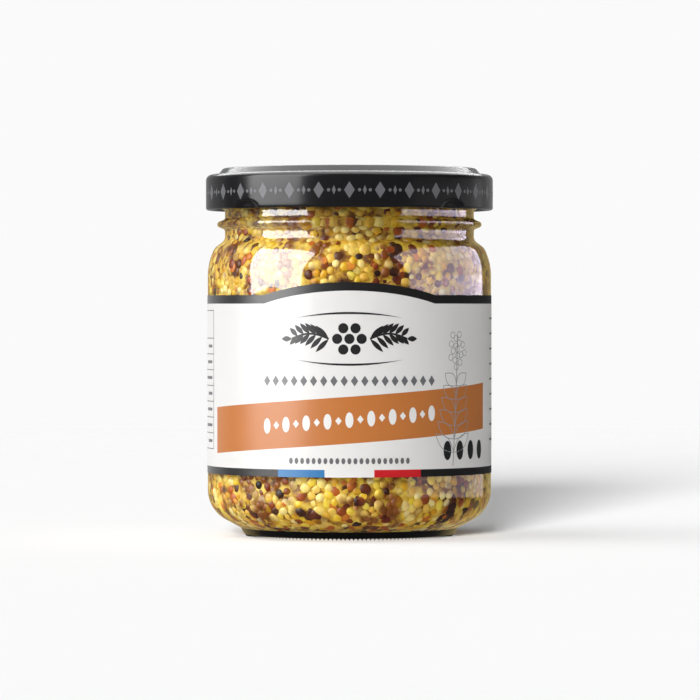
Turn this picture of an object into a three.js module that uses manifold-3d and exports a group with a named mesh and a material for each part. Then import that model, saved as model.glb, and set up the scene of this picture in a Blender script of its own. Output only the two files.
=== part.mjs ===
// A squat round glass jar of wholegrain mustard, shut by a twist-off metal lid, with a paper label round it.
// Millimetres, +Z up. The origin is the centre of the foot ring, and the label's front faces -Y.
import * as THREE from "three";
import { mergeVertices } from "three/addons/utils/BufferGeometryUtils.js";
import Module from "manifold-3d";

const wasm = await Module();
wasm.setup();

// Glass, outside
const BODY_R = 33.85; // the panel that the label lies on
const HEEL_R = 34.35; // the heel stands proud of the label
const HEEL_TOP = 13; // where the heel's swell meets the label panel
const HEEL_SWELL = 0.8; // height over which it swells
const HEEL_CORNER = 6.2; // where the straight heel would meet the wall
const HEEL_FILLET = 8;
const FOOT_R = 25.2;
const FOOT_TOP_R = 26.1;
const FOOT_H = 1.4;
const FOOT_WIDTH = 2.2;
const PUSH_UP = 1.6; // how far the underside is domed up inside the foot ring
const PUSH_UP_SLOPE = 1.5; // from the foot ring to the dome
const PUSH_UP_FILLET = 3;
const SHOULDER_Z = 65.2;
const SHOULDER_FILLET = 14;
const SHOULDER_EDGE_R = 32.35;
const SHOULDER_EDGE_Z = 69;
const SHOULDER_EDGE_FILLET = 2;
const NECK_R = 29.86;
const NECK_Z = 70.8;
const NECK_FILLET = 1.4;
const BEAD_R = 31.65; // the ring round the neck, just under the lid
const BEAD_Z = 74.6;
const BEAD_HALF = 1.3;
const BEAD_EDGE_HALF = 0.45;
const FINISH_R = 31.4; // the part of the neck inside the lid
const FINISH_Z = 77.1; // where the neck starts to flare out to it
const FINISH_FLARE = 1.1;
const RIM_Z = 85.3;
const RIM_FILLET = 0.9;

// Glass, inside
const WALL = 2.1;
const BASE_INSIDE_Z = 4.6;
const INSIDE_HEEL_FILLET = 9;
const INSIDE_SHOULDER_Z = 64;
const INSIDE_SHOULDER_FILLET = 8;
const INSIDE_NECK_Z = 69.9;
const INSIDE_NECK_FILLET = 3;
const MOUTH_R = 27.9;

// Thread ramps on the finish, which the lid's lugs hook under
const LUGS = 4;
const LUG_ANGLE = 45; // degrees from the front to the first lug
const RAMP_R = 0.8; // radius of the ridge
const RAMP_Z = 80.8;
const RAMP_RISE = 0.8;
const RAMP_SPAN = 56; // degrees round the neck
const RAMP_STEPS = 8;

// Lid
const LID_R = 34.4;
const LID_WALL = 0.4;
const LID_BOTTOM = 78;
const LID_SHOULDER_Z = 86.5;
const LID_SHOULDER_FILLET = 1.4;
const CURL = 1.2; // width and height of the rolled edge
const STEP_FOOT_R = 31.5; // the step from the shoulder up to the panel
const STEP_TOP_R = 30.3;
const STEP_FILLET = 0.6;
const PANEL_Z = 88;
const PANEL_RIM = 2.4; // width of the rim round the sunk panel
const PANEL_SINK = 0.5;
const BUTTON_R = 11; // the vacuum button
const BUTTON_RISE = 0.3;
const BUTTON_SLOPE = 1.5;
const LUG_HALF_WIDTH = 4.2;
const LUG_HEIGHT = 2.3;
const LUG_DEPTH = 1.9;
const LUG_INSET = 0.1; // the lugs grow out of the middle of the skirt's wall

// Label
const LABEL_GAP = 0.1; // to the glass
const LABEL_T = 0.13;
const LABEL_BOTTOM = 15.2;
const LABEL_TOP = 57.6;
const ARCH_RISE = 3; // the upper edge arches up over the front
const ARCH_HALF_ANGLE = 36; // degrees from the front to where the arch starts
const LABEL_OPEN = 14.4; // degrees left bare at the back

// Mustard
const LEVEL_Z = 79.8;
const FILL_GAP = 0.95; // from the paste to the glass, which the seeds reach into
const SEED_R = 1.15;
const SEED_SPREAD = 0.25; // seeds differ in size by up to this share
const SEED_SUNK = 0.62; // share of a seed's radius that its centre lies inside the paste
const SEEDS = 150;
const GOLDEN_ANGLE = Math.PI * (3 - Math.sqrt(5));

// Facets
const SIDES = 50;
const FILL_SIDES = 40;
const ARC_STEP = 28; // degrees of a rounded corner for each facet

const radians = THREE.MathUtils.degToRad;

// Points along straight runs from corner to corner, [radius, height, fillet], with each fillet as an arc.
function roundedOutline(corners) {
  const at = (i) => new THREE.Vector2(corners[i][0], corners[i][1]);
  return corners.flatMap(([, , fillet = 0], i) => {
    const corner = at(i);
    if (!fillet) return [corner];
    const back = at(i - 1).sub(corner).normalize();
    const ahead = at(i + 1).sub(corner).normalize();
    const half = Math.acos(back.dot(ahead)) / 2;
    const centre = back.clone().add(ahead).normalize().multiplyScalar(fillet / Math.sin(half)).add(corner);
    const start = back.multiplyScalar(fillet / Math.tan(half)).add(corner).sub(centre);
    const end = ahead.multiplyScalar(fillet / Math.tan(half)).add(corner).sub(centre);
    const clockwise = start.cross(end) < 0;
    const arc = new THREE.EllipseCurve(
      centre.x, centre.y, fillet, fillet, start.angle(), end.angle(), clockwise,
    );
    const turn = Math.PI - 2 * half;
    return arc.getPoints(Math.max(1, Math.round(turn / radians(ARC_STEP))));
  });
}

// The outline turned about the upright axis. It runs up the outside and down the inside.
function turned(corners) {
  return new THREE.LatheGeometry(roundedOutline(corners), SIDES).rotateX(Math.PI / 2);
}

// A closed geometry as a solid that can be joined and cut.
function solid(geometry) {
  const bare = geometry.clone();
  bare.deleteAttribute("normal");
  bare.deleteAttribute("uv");
  const merged = mergeVertices(bare, 1e-3);
  const mesh = new wasm.Mesh({
    numProp: 3,
    vertProperties: new Float32Array(merged.attributes.position.array),
    triVerts: new Uint32Array(merged.index.array),
  });
  return new wasm.Manifold(mesh);
}

function geometryOf(made) {
  const mesh = made.getMesh();
  return new THREE.BufferGeometry()
    .setAttribute("position", new THREE.BufferAttribute(mesh.vertProperties, 3))
    .setIndex(new THREE.BufferAttribute(mesh.triVerts, 1))
    .toNonIndexed();
}

// A named mesh with flat facets.
function piece(name, geometry, material) {
  geometry.computeVertexNormals();
  const mesh = new THREE.Mesh(geometry, material);
  mesh.name = name;
  return mesh;
}

function lugAngles() {
  return Array.from({ length: LUGS }, (_, i) => radians(LUG_ANGLE + (i * 360) / LUGS));
}

// A point on a circle round the axis, at an angle counted from the front.
function onCircle(radius, angle, z) {
  return new THREE.Vector3(radius * Math.sin(angle), -radius * Math.cos(angle), z);
}

// Corners down the inside of the glass from a height in the neck, or down what fills it at a gap.
function insideCorners(gap, top) {
  const wallR = BODY_R - WALL - gap;
  return [
    [MOUTH_R - gap, top],
    [MOUTH_R - gap, INSIDE_NECK_Z, INSIDE_NECK_FILLET],
    [wallR, INSIDE_SHOULDER_Z, INSIDE_SHOULDER_FILLET],
    [wallR, BASE_INSIDE_Z + gap, INSIDE_HEEL_FILLET],
    [0, BASE_INSIDE_Z + gap],
  ];
}

// Thread ramp: a low round ridge that climbs a little round the finish.
class RampCurve extends THREE.Curve {
  constructor(middle) {
    super();
    this.middle = middle;
  }
  getPoint(t, target = new THREE.Vector3()) {
    const angle = this.middle + radians(RAMP_SPAN) * (t - 0.5);
    return target.copy(onCircle(FINISH_R, angle, RAMP_Z + RAMP_RISE * (t - 0.5)));
  }
}

function threadRamp(middle) {
  const section = new THREE.Shape().absarc(0, 0, RAMP_R, 0, 2 * Math.PI);
  return new THREE.ExtrudeGeometry(section, {
    curveSegments: 4,
    steps: RAMP_STEPS,
    extrudePath: new RampCurve(middle),
  });
}

function glassJar() {
  const footInnerR = FOOT_R - FOOT_WIDTH;
  const shell = solid(
    turned([
      [0, PUSH_UP],
      [footInnerR - PUSH_UP_SLOPE, PUSH_UP / 2, PUSH_UP_FILLET],
      [footInnerR, 0],
      [FOOT_R, 0],
      [FOOT_TOP_R, FOOT_H],
      [HEEL_R, HEEL_CORNER, HEEL_FILLET],
      [HEEL_R, HEEL_TOP - HEEL_SWELL],
      [BODY_R, HEEL_TOP],
      [BODY_R, SHOULDER_Z, SHOULDER_FILLET],
      [SHOULDER_EDGE_R, SHOULDER_EDGE_Z, SHOULDER_EDGE_FILLET],
      [NECK_R, NECK_Z, NECK_FILLET],
      [NECK_R, BEAD_Z - BEAD_HALF],
      [BEAD_R, BEAD_Z - BEAD_EDGE_HALF],
      [BEAD_R, BEAD_Z + BEAD_EDGE_HALF],
      [NECK_R, BEAD_Z + BEAD_HALF],
      [NECK_R, FINISH_Z],
      [FINISH_R, FINISH_Z + FINISH_FLARE],
      [FINISH_R, RIM_Z, RIM_FILLET],
      [MOUTH_R, RIM_Z, RIM_FILLET],
      ...insideCorners(0, RIM_Z).slice(1),
    ]),
  );
  const ramps = lugAngles().map((angle) => solid(threadRamp(angle)));
  return geometryOf(wasm.Manifold.union([shell, ...ramps]));
}

// A flattened ball at the lid's lower edge: the lug pressed in there, or the dent that shows outside.
function lugBall(angle, skin) {
  const ball = new THREE.SphereGeometry(1, 12, 8)
    .rotateX(Math.PI / 2)
    .scale(LUG_HALF_WIDTH - skin, LUG_DEPTH - skin, LUG_HEIGHT - skin);
  return solid(ball.translate(0, -LID_R, LID_BOTTOM).rotateZ(angle));
}

function lid() {
  const panelR = STEP_TOP_R - PANEL_RIM;
  const panelZ = PANEL_Z - PANEL_SINK;
  const ceilingZ = panelZ - LID_WALL;
  const shoulderUnder = LID_SHOULDER_Z - LID_WALL;
  const crown = (inset) => [
    [LID_R - inset, LID_SHOULDER_Z, LID_SHOULDER_FILLET],
    [STEP_FOOT_R, LID_SHOULDER_Z],
    [STEP_TOP_R, PANEL_Z, STEP_FILLET],
    [panelR, PANEL_Z],
    [panelR - PANEL_SINK, panelZ],
    [BUTTON_R + BUTTON_SLOPE, panelZ],
    [BUTTON_R, panelZ + BUTTON_RISE],
    [0, panelZ + BUTTON_RISE],
  ];
  const shell = solid(
    turned([
      [0, ceilingZ],
      [STEP_TOP_R - LID_WALL, ceilingZ],
      [STEP_FOOT_R - LID_WALL, shoulderUnder],
      [LID_R - LID_WALL, shoulderUnder, LID_SHOULDER_FILLET - LID_WALL],
      [LID_R - LID_WALL, LID_BOTTOM + CURL],
      [LID_R - CURL, LID_BOTTOM + CURL, CURL / 3],
      [LID_R - CURL, LID_BOTTOM, CURL / 2],
      [LID_R, LID_BOTTOM, CURL / 2],
      ...crown(0),
    ]),
  );
  const lugBottom = LID_BOTTOM + LUG_INSET;
  const withinSkirt = solid(
    turned([[0, lugBottom], [LID_R - LUG_INSET, lugBottom, CURL / 2], ...crown(LUG_INSET)]),
  );
  const lugs = lugAngles().map((angle) => lugBall(angle, 0).intersect(withinSkirt));
  const dents = lugAngles().map((angle) => lugBall(angle, LID_WALL));
  return geometryOf(wasm.Manifold.union([shell, ...lugs]).subtract(wasm.Manifold.union(dents)));
}

// Height of the label's upper edge: straight, with an arc of a circle over the front.
function labelTop(angle) {
  const chord = BODY_R * radians(ARCH_HALF_ANGLE);
  const archR = (chord ** 2 + ARCH_RISE ** 2) / (2 * ARCH_RISE);
  const along = Math.min(BODY_R * Math.abs(angle), chord);
  return LABEL_TOP + ARCH_RISE - archR + Math.sqrt(archR ** 2 - along ** 2);
}

// A flat sheet bent round the glass. Its steps line up with the glass's facets.
function label() {
  const span = radians(360 - LABEL_OPEN);
  const steps = Math.round((SIDES * (360 - LABEL_OPEN)) / 360);
  const sheet = new THREE.BoxGeometry(span, 1, 1, steps, 1, 1);
  const place = sheet.attributes.position;
  for (let i = 0; i < place.count; i++) {
    const angle = place.getX(i);
    const z = place.getY(i) > 0 ? labelTop(angle) : LABEL_BOTTOM;
    const outer = place.getZ(i) > 0 ? LABEL_T : 0;
    const { x, y } = onCircle(BODY_R + LABEL_GAP + outer, angle, z);
    place.setXYZ(i, x, y, z);
  }
  return sheet;
}

// A repeatable number from 0 to 1 for each whole number.
function scatter(i) {
  const wave = Math.sin(i * 12.9898 + 4.1) * 43758.5453;
  return wave - Math.floor(wave);
}

// One of the largest seeds, partly sunk in the paste's side towards the middle of the jar.
function seed(spot, i) {
  const radius = SEED_R * (1 - SEED_SPREAD * scatter(i));
  const middle = new THREE.Vector2(0, (BASE_INSIDE_Z + LEVEL_Z) / 2);
  const centre = middle.sub(spot).setLength(radius * SEED_SUNK).add(spot);
  const place = onCircle(centre.x, i * GOLDEN_ANGLE, centre.y);
  const grain = new THREE.IcosahedronGeometry(radius).rotateX(i).rotateZ(2 * i);
  return solid(grain.translate(place.x, place.y, place.z));
}

// Paste up to the level in the neck, with seeds standing out of its side in an even spiral from heel to neck.
function mustard() {
  const outline = roundedOutline([...insideCorners(FILL_GAP, LEVEL_Z).reverse(), [0, LEVEL_Z]]);
  const paste = solid(new THREE.LatheGeometry(outline, FILL_SIDES).rotateX(Math.PI / 2));
  const side = new THREE.CurvePath();
  const sidePoints = outline.slice(1, -1);
  sidePoints.slice(1).forEach((point, i) => side.add(new THREE.LineCurve(sidePoints[i], point)));
  const seeds = Array.from({ length: SEEDS }, (_, i) => seed(side.getPoint((i + 0.5) / SEEDS), i));
  return geometryOf(wasm.Manifold.union([paste, ...seeds]));
}

const clearGlass = new THREE.MeshStandardMaterial({
  color: 0xe9f0ec, roughness: 0.05, metalness: 0, transparent: true, opacity: 0.3,
});
const blackLacquer = new THREE.MeshStandardMaterial({ color: 0x1d1d1f, roughness: 0.35, metalness: 0.2 });
const labelPaper = new THREE.MeshStandardMaterial({ color: 0xf2f1ee, roughness: 0.6, metalness: 0 });
const mustardSeed = new THREE.MeshStandardMaterial({ color: 0xc99a2e, roughness: 0.5, metalness: 0 });

const jar = new THREE.Group();
jar.add(piece("glass_jar", glassJar(), clearGlass));
jar.add(piece("mustard", mustard(), mustardSeed));
jar.add(piece("label", label(), labelPaper));
jar.add(piece("lid", lid(), blackLacquer));

export default jar;
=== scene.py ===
"""Dresses the mustard jar: clear glass, seeded mustard, a printed label round it and an enamelled lid.

Sizes are in millimetres and become metres where a mesh is made. The jar's axis is Z, and angles round it
are counted from the label's front, which faces -Y.
"""

import logging
import math
from dataclasses import dataclass, field
from enum import Enum
from typing import Any, Callable, Iterable, Sequence

import bpy
import numpy as np
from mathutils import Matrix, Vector


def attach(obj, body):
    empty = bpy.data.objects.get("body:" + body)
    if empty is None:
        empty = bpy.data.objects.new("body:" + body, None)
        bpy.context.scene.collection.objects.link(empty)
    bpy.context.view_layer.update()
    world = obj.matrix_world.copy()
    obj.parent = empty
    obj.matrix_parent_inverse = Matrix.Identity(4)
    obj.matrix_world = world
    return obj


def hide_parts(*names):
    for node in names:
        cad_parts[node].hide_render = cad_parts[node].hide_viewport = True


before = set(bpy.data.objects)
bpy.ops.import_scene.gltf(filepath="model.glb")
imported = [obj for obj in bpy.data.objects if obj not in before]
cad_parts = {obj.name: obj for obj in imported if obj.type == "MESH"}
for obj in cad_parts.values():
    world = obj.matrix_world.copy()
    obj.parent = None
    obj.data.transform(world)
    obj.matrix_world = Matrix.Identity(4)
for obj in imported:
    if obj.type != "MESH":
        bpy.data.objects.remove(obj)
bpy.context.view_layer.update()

LOG = logging.getLogger("mustard_jar")
MM = 0.001
BODY = "root"
Corner = tuple[float, ...]
Flat = tuple[float, float]
Colour = tuple[float, float, float, float]


def linear(code: str) -> Colour:
    """Turns an sRGB hex colour into the linear colour that shaders take.

    Args:
        code: Six hex digits.

    Returns:
        Red, green, blue and alpha.
    """
    shares = [int(code[i : i + 2], 16) / 255 for i in (0, 2, 4)]
    return (*(c / 12.92 if c <= 0.04045 else ((c + 0.055) / 1.055) ** 2.4 for c in shares), 1.0)


def socket(sockets: Any, key: str | int) -> Any:
    """Finds a socket by index, or the first one in use with that name.

    Args:
        sockets: A node's inputs or outputs.
        key: The socket's name or index.

    Returns:
        The socket.
    """
    if isinstance(key, int):
        return sockets[key]
    return next(s for s in sockets if s.name == key and s.enabled)


def add(
    tree: bpy.types.NodeTree,
    kind: str,
    inputs: dict[str | int, Any] | None = None,
    **settings: Any,
) -> Any:
    """Adds a node with its settings, and fills or links its inputs.

    Args:
        tree: The tree to add to.
        kind: The node's type name.
        inputs: A number, colour, name, node or output socket for each input. A node gives its first output.
        **settings: The node's own properties.

    Returns:
        The new node.
    """
    made = tree.nodes.new(kind)
    for name, value in settings.items():
        setattr(made, name, value)
    for key, value in (inputs or {}).items():
        target = socket(made.inputs, key)
        if isinstance(value, bpy.types.Node):
            value = next(s for s in value.outputs if s.enabled)
        if isinstance(value, bpy.types.NodeSocket):
            tree.links.new(value, target)
        else:
            target.default_value = value
    return made


def ramp(tree: bpy.types.NodeTree, factor: Any, stops: Sequence[tuple[float, str]]) -> Any:
    """Adds a colour ramp.

    Args:
        tree: The tree to add to.
        factor: The node or socket that runs through it.
        stops: Place from 0 to 1 and sRGB hex colour of each stop.

    Returns:
        The ramp's node.
    """
    made = add(tree, "ShaderNodeValToRGB", {"Fac": factor})
    elements = made.color_ramp.elements
    while len(elements) < len(stops):
        elements.new(1.0)
    for element, (place, code) in zip(elements, stops):
        element.position = place
        element.color = linear(code)
    return made


def new_material(name: str) -> tuple[bpy.types.Material, bpy.types.NodeTree]:
    """Starts an empty node material.

    Args:
        name: The material's name.

    Returns:
        The material and its tree.
    """
    material = bpy.data.materials.new(name)
    material.use_nodes = True
    material.node_tree.nodes.clear()
    return material, material.node_tree


def surface(tree: bpy.types.NodeTree, inputs: dict[str | int, Any]) -> None:
    """Ends a material's tree in a Principled shader.

    Args:
        tree: The material's tree.
        inputs: The shader's inputs, as for add.
    """
    shader = add(tree, "ShaderNodeBsdfPrincipled", inputs)
    add(tree, "ShaderNodeOutputMaterial", {"Surface": shader})


def object_noise(tree: bpy.types.NodeTree, size_mm: float, detail: float = 3.0) -> Any:
    """Adds noise on object coordinates.

    Args:
        tree: The tree to add to.
        size_mm: About the width of one blotch.
        detail: Octaves of finer noise.

    Returns:
        The noise node, whose first output runs from 0 to 1.
    """
    place = add(tree, "ShaderNodeTexCoord").outputs["Object"]
    return add(tree, "ShaderNodeTexNoise", {"Vector": place, "Scale": 1 / (size_mm * MM), "Detail": detail})


def bump(tree: bpy.types.NodeTree, height: Any, depth_mm: float, strength: float = 1.0) -> Any:
    """Adds a bump of a real depth.

    Args:
        tree: The tree to add to.
        height: The node or socket that gives the relief, from 0 to 1.
        depth_mm: Depth from the lowest to the highest place.
        strength: Share of the bump that shows.

    Returns:
        The bump node.
    """
    return add(tree, "ShaderNodeBump", {"Height": height, "Distance": depth_mm * MM, "Strength": strength})


@dataclass(frozen=True)
class ClearGlass:
    """Pressed soda-lime container glass: clear, fire-polished, with the faint waves of a moulded wall."""

    tint: str = "F6FAF7"
    ior: float = 1.5
    wave_mm: float = 14.0
    wave_depth_mm: float = 0.05

    def material(self, name: str = "soda_lime_glass") -> bpy.types.Material:
        """Returns the glass, with low waves that bend its reflections a little."""
        material, tree = new_material(name)
        waves = bump(tree, object_noise(tree, self.wave_mm, 1.0), self.wave_depth_mm)
        surface(
            tree,
            {
                "Base Color": linear(self.tint),
                "Roughness": 0.015,
                "IOR": self.ior,
                "Transmission Weight": 1.0,
                "Normal": waves,
            },
        )
        return material


@dataclass(frozen=True)
class FootShadeGlass:
    """The foot ring's edge, near black as painted shade for the dark that the thick glass shows there, with a
    stippled foot.
    """

    # Painted shade: near black stands in for the dark under the jar's foot.
    colour: str = "060607"
    stipple_mm: float = 0.5

    def material(self) -> bpy.types.Material:
        """Returns the foot's glass, near black as painted shade, with its stipple as a low bump."""
        material, tree = new_material("foot_ring_painted_shade")
        stipple = object_noise(tree, self.stipple_mm, 0.0)
        surface(
            tree,
            {
                "Base Color": linear(self.colour),
                "Roughness": 0.2,
                "IOR": 1.5,
                "Specular IOR Level": 0.35,
                "Normal": bump(tree, stipple, 0.05),
            },
        )
        return material


# Painted shade: the mustard darkens upwards through the neck, a painted shadow of the lid.
NECK_SHADE_FADE = (66.5, 75.0)
NECK_SHADE = "D5CB9C"


def lid_shadowed(tree: bpy.types.NodeTree, colour: Any) -> Any:
    """Darkens a colour upwards through the neck with painted shade, which stands in for the lid's shadow
    there.

    Args:
        tree: The tree to add to.
        colour: The node that gives the colour.

    Returns:
        The node that gives the colour with its painted shade.
    """
    place = add(tree, "ShaderNodeTexCoord").outputs["Object"]
    height = add(tree, "ShaderNodeSeparateXYZ", {"Vector": place}).outputs["Z"]
    low, high = NECK_SHADE_FADE
    share = add(
        tree, "ShaderNodeMapRange", {"Value": height, "From Min": low * MM, "From Max": high * MM}
    )
    return add(
        tree,
        "ShaderNodeMix",
        {"Factor": share, "A": colour, "B": linear(NECK_SHADE)},
        data_type="RGBA",
        blend_type="MULTIPLY",
    ).outputs[2]


@dataclass(frozen=True)
class MustardPaste:
    """Ground mustard in vinegar: a wet, cloudy paste, amber where it is thin and yellow where it is thick."""

    stops: tuple[tuple[float, str], ...] = (
        (0.35, "4A260A"),
        (0.43, "8E5C12"),
        (0.51, "CDA22C"),
        (0.63, "E9CB56"),
    )
    blotch_mm: float = 3.2
    grain_mm: float = 0.5

    def material(self) -> bpy.types.Material:
        """Returns the paste, blotched by how thick it lies and grainy with bran."""
        material, tree = new_material("mustard_paste")
        colour = ramp(tree, object_noise(tree, self.blotch_mm, 4.0), self.stops)
        grain = object_noise(tree, self.grain_mm, 2.0)
        surface(
            tree,
            {
                # painted shade of the lid in the neck
                "Base Color": lid_shadowed(tree, colour),
                "Roughness": 0.5,
                "Specular IOR Level": 0.2,
                "Normal": bump(tree, grain, 0.12),
            },
        )
        return material


@dataclass(frozen=True)
class SeedCoat:
    """Skin of soaked mustard seeds of one kind: dull and smooth, each seed of its own shade, mottled finely.

    Brown gel lies over them in patches.
    """

    name: str
    shades: tuple[str, str, str, str]
    glow: float = 0.35
    glow_mm: float = 0.9
    mottle_mm: float = 0.7
    mottle_share: float = 0.24
    gel: str = "8A4812"
    gel_mm: float = 5.5

    def material(self) -> bpy.types.Material:
        """Returns the skin. Each seed's shade comes from its tint attribute, and a fine mottle shifts it."""
        material, tree = new_material(self.name)
        tint = add(tree, "ShaderNodeAttribute", attribute_name=SeedScatter.TINT).outputs["Fac"]
        mottle = object_noise(tree, self.mottle_mm, 2.0)
        shift = add(
            tree,
            "ShaderNodeMath",
            {0: mottle, 1: self.mottle_share, 2: -self.mottle_share / 2},
            operation="MULTIPLY_ADD",
        )
        shade = add(tree, "ShaderNodeMath", {0: tint, 1: shift}, operation="ADD", use_clamp=True)
        skin = ramp(tree, shade, list(zip((0.0, 0.35, 0.7, 1.0), self.shades)))
        thick = add(
            tree,
            "ShaderNodeMapRange",
            {
                "Value": object_noise(tree, self.gel_mm, 1.0),
                "From Min": 0.5,
                "From Max": 0.64,
                "To Max": 0.92,
            },
        )
        under_gel = add(
            tree,
            "ShaderNodeMix",
            {"Factor": thick, "A": skin, "B": linear(self.gel)},
            data_type="RGBA",
            blend_type="MULTIPLY",
        ).outputs[2]
        surface(
            tree,
            {
                # painted shade of the lid in the neck
                "Base Color": lid_shadowed(tree, under_gel),
                "Subsurface Weight": self.glow,
                "Subsurface Radius": (1.0, 0.6, 0.2),
                "Subsurface Scale": self.glow_mm * MM,
                "Roughness": 0.45,
                "Specular IOR Level": 0.2,
                "Normal": bump(tree, mottle, 0.05),
            },
        )
        return material


@dataclass(frozen=True)
class CoatedPaper:
    """Coated label paper with offset ink: flat colour under a thin gloss that gives a broad soft sheen."""

    name: str
    colour: str
    gloss: float = 0.34
    fibre_mm: float = 0.35
    cloud_mm: float = 9.0
    cloud: float = 0.03

    def material(self) -> bpy.types.Material:
        """Returns the printed paper, with a faint cloudiness in the ink and fibres under the coat."""
        material, tree = new_material(self.name)
        paper = add(
            tree,
            "ShaderNodeHueSaturation",
            {
                "Color": linear(self.colour),
                "Value": add(
                    tree,
                    "ShaderNodeMath",
                    {0: object_noise(tree, self.cloud_mm), 1: self.cloud, 2: 1 - self.cloud / 2},
                    operation="MULTIPLY_ADD",
                ),
            },
        )
        fibres = object_noise(tree, self.fibre_mm, 4.0)
        surface(
            tree,
            {
                "Base Color": paper,
                "Roughness": self.gloss,
                "Specular IOR Level": 0.4,
                "Normal": bump(tree, fibres, 0.006),
            },
        )
        return material


@dataclass(frozen=True)
class LidEnamel:
    """Stoved enamel on tinplate: nearly black, smooth and glossy, with the ripple of sprayed lacquer."""

    name: str
    colour: str
    roughness: float = 0.2
    specular: float = 0.26
    ripple_mm: float = 1.1

    def material(self) -> bpy.types.Material:
        """Returns the enamel, uneven in gloss where it has been handled."""
        material, tree = new_material(self.name)
        handled = add(
            tree,
            "ShaderNodeMapRange",
            {
                "Value": object_noise(tree, 6.0),
                "To Min": self.roughness - 0.03,
                "To Max": self.roughness + 0.05,
            },
        )
        colour = add(
            tree,
            "ShaderNodeHueSaturation",
            {
                "Color": linear(self.colour),
                "Value": add(
                    tree,
                    "ShaderNodeMath",
                    {0: object_noise(tree, 4.0), 1: 0.16, 2: 0.92},
                    operation="MULTIPLY_ADD",
                ),
            },
        )
        surface(
            tree,
            {
                "Base Color": colour,
                "Roughness": handled,
                "Specular IOR Level": self.specular,
                "Normal": bump(tree, object_noise(tree, self.ripple_mm, 1.0), 0.004),
            },
        )
        return material


def rounded_outline(corners: Sequence[Corner], arc_step: float = 7.5, longest: float = 1.6) -> np.ndarray:
    """Runs straight from corner to corner, with each fillet as an arc and long runs cut into short ones.

    Args:
        corners: Radius and height of each corner, and its fillet's radius where it has one.
        arc_step: Degrees of turn for each step of a fillet.
        longest: Longest straight step.

    Returns:
        The points, as rows of radius and height.
    """
    points: list[np.ndarray] = []
    for i, corner in enumerate(corners):
        here = np.array(corner[:2], float)
        fillet = corner[2] if len(corner) > 2 else 0.0
        if not fillet:
            points.append(here)
            continue
        back = np.array(corners[i - 1][:2]) - here
        ahead = np.array(corners[i + 1][:2]) - here
        back, ahead = back / np.linalg.norm(back), ahead / np.linalg.norm(ahead)
        half = math.acos(float(np.clip(back @ ahead, -1, 1))) / 2
        middle = (back + ahead) / np.linalg.norm(back + ahead)
        centre = here + middle * fillet / math.sin(half)
        start, end = (here + way * fillet / math.tan(half) - centre for way in (back, ahead))
        turn = math.atan2(start[0] * end[1] - start[1] * end[0], float(start @ end))
        for t in np.linspace(0, 1, max(2, math.ceil(abs(math.degrees(turn)) / arc_step)) + 1):
            c, s = math.cos(turn * t), math.sin(turn * t)
            points.append(centre + np.array([c * start[0] - s * start[1], s * start[0] + c * start[1]]))
    cut: list[np.ndarray] = [points[0]]
    for before, after in zip(points, points[1:]):
        parts = max(1, math.ceil(float(np.linalg.norm(after - before)) / longest))
        cut.extend(before + (after - before) * k / parts for k in range(1, parts + 1))
    return np.array(cut)


def grown(corners: Sequence[Corner], out: float) -> list[Corner]:
    """Moves an outline's straight runs outwards, with its corners where they then meet.

    Args:
        corners: Corners of an outline that runs down the outside, as for rounded_outline.
        out: How far the runs move.

    Returns:
        The moved corners with the same fillets.
    """
    ways = [np.subtract(after[:2], before[:2]) for before, after in zip(corners, corners[1:])]
    sides = [np.array([-way[1], way[0]]) / np.linalg.norm(way) for way in ways]
    moved: list[Corner] = []
    for corner, one, other in zip(corners, [sides[0], *sides], [*sides, sides[-1]]):
        radius, z = np.array(corner[:2]) + out * (one + other) / (1 + one @ other)
        moved.append((float(radius), float(z), *corner[2:]))
    return moved


def on_circle(radius: float, angle: float, z: float) -> tuple[float, float, float]:
    """Returns a point round the axis, at an angle in radians from the front."""
    return radius * math.sin(angle), -radius * math.cos(angle), z


@dataclass
class Shell:
    """Vertices in millimetres and faces, with the material slot of each face, on the way to a mesh."""

    vertices: list[tuple[float, float, float]] = field(default_factory=list)
    faces: list[tuple[int, ...]] = field(default_factory=list)
    slots: list[int] = field(default_factory=list)

    def face(self, corners: Iterable[int], slot: int = 0) -> None:
        """Adds a face with a material slot."""
        self.faces.append(tuple(corners))
        self.slots.append(slot)

    def piece(
        self, name: str, materials: Sequence[bpy.types.Material], smooth: float = 40.0
    ) -> bpy.types.Object:
        """Makes the piece.

        Args:
            name: The piece's name.
            materials: The material of each slot.
            smooth: Edges that turn by more than this many degrees stay sharp.

        Returns:
            The object, at the origin, with its place in its mesh.
        """
        mesh = bpy.data.meshes.new(name)
        mesh.from_pydata([tuple(c * MM for c in v) for v in self.vertices], [], self.faces)
        for material in materials:
            mesh.materials.append(material)
        mesh.polygons.foreach_set("material_index", self.slots)
        mesh.shade_smooth()
        mesh.set_sharp_from_angle(angle=math.radians(smooth))
        mesh.update()
        made = bpy.data.objects.new(name, mesh)
        bpy.context.scene.collection.objects.link(made)
        return made


def turned(outline: np.ndarray, sides: int, shell: Shell | None = None) -> Shell:
    """Turns an outline about the axis. It starts and ends on the axis, or closes on itself.

    Args:
        outline: Rows of radius and height, up the outside and down the inside.
        sides: Steps round the axis.
        shell: A shell to add to.

    Returns:
        The shell.
    """
    shell = shell or Shell()
    closed = bool(np.allclose(outline[0], outline[-1])) and outline[0][0] > 1e-6
    rows = outline[:-1] if closed else outline
    rings: list[list[int]] = []
    for radius, z in rows:
        first = len(shell.vertices)
        if radius < 1e-6:
            shell.vertices.append((0.0, 0.0, float(z)))
            rings.append([first] * sides)
            continue
        turns = (2 * math.pi * k / sides for k in range(sides))
        shell.vertices.extend(on_circle(float(radius), turn, float(z)) for turn in turns)
        rings.append(list(range(first, first + sides)))
    pairs = list(zip(rings, rings[1:])) + ([(rings[-1], rings[0])] if closed else [])
    for low, high in pairs:
        for k in range(sides):
            n = (k + 1) % sides
            shell.face(dict.fromkeys((low[k], low[n], high[n], high[k])))
    return shell


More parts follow.
